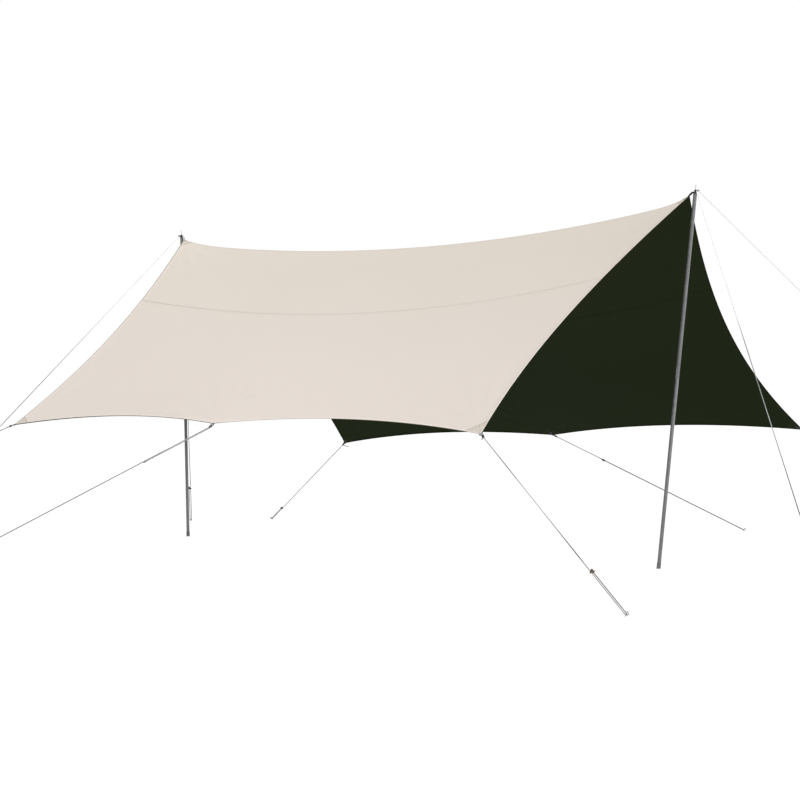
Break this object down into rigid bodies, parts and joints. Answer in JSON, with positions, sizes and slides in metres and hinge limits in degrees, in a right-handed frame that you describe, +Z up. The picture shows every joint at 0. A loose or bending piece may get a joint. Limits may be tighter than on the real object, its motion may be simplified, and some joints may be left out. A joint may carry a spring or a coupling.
{
  "type": "canopy tent",
  "caption": "Open canopy tent: a ridge-shaped cloth with hollow-cut edges, stretched over two leaning poles and held taut by guy ropes, rope sliders and ground pegs.",
  "frame": {"origin": "middle of the underside of the right pole's foot, on the ground", "axes": "+X along the ridge from the left pole towards the right pole, +Z up, the front side of the cloth faces -Y"},
  "size_m": [8.1852, 6.9813, 2.4449],
  "materials": {
    "cloth": "matt sand-coloured coated canvas",
    "webbing": "black woven webbing",
    "rope": "dark grey braid, bleached near the peaks",
    "pole_metal": "satin grey",
    "cap_metal": "grey, with a brighter pin",
    "ring_metal": "plated wire",
    "peg_metal": "galvanised round bar",
    "foot_rubber": "matt dark grey",
    "slider": "dull brown"
  },
  "bodies": {
    "root": {"front_upper_cloth": "cloth", "front_lower_cloth": "cloth", "back_upper_cloth": "cloth", "back_lower_cloth": "cloth", "left_pole_foot": "foot_rubber", "left_pole_lower_tube": "pole_metal", "left_pole_upper_tube": "pole_metal", "left_pole_cap_pin": "cap_metal", "left_peak_strap": "webbing", "right_pole_foot": "foot_rubber", "right_pole_lower_tube": "pole_metal", "right_pole_upper_tube": "pole_metal", "right_pole_cap_pin": "cap_metal", "right_peak_strap": "webbing", "front_left_webbing_tab": "webbing", "front_left_ring": "ring_metal", "front_left_guy_rope": "rope", "front_left_rope_slider": "slider", "front_left_peg": "peg_metal", "front_middle_webbing_tab": "webbing", "front_middle_ring": "ring_metal", "front_middle_guy_rope": "rope", "front_middle_rope_slider": "slider", "front_middle_peg": "peg_metal", "front_right_webbing_tab": "webbing", "front_right_ring": "ring_metal", "front_right_guy_rope": "rope", "front_right_rope_slider": "slider", "front_right_peg": "peg_metal", "back_left_webbing_tab": "webbing", "back_left_ring": "ring_metal", "back_left_guy_rope": "rope", "back_left_rope_slider": "slider", "back_left_peg": "peg_metal", "back_middle_webbing_tab": "webbing", "back_middle_ring": "ring_metal", "back_middle_guy_rope": "rope", "back_middle_rope_slider": "slider", "back_middle_peg": "peg_metal", "back_right_webbing_tab": "webbing", "back_right_ring": "ring_metal", "back_right_guy_rope": "rope", "back_right_rope_slider": "slider", "back_right_peg": "peg_metal", "left_pole_front_guy_rope": "rope", "left_pole_front_rope_slider": "slider", "left_pole_front_peg": "peg_metal", "left_pole_back_guy_rope": "rope", "left_pole_back_rope_slider": "slider", "left_pole_back_peg": "peg_metal", "right_pole_front_guy_rope": "rope", "right_pole_front_rope_slider": "slider", "right_pole_front_peg": "peg_metal", "right_pole_back_guy_rope": "rope", "right_pole_back_rope_slider": "slider", "right_pole_back_peg": "peg_metal"}
  },
  "joints": []
}
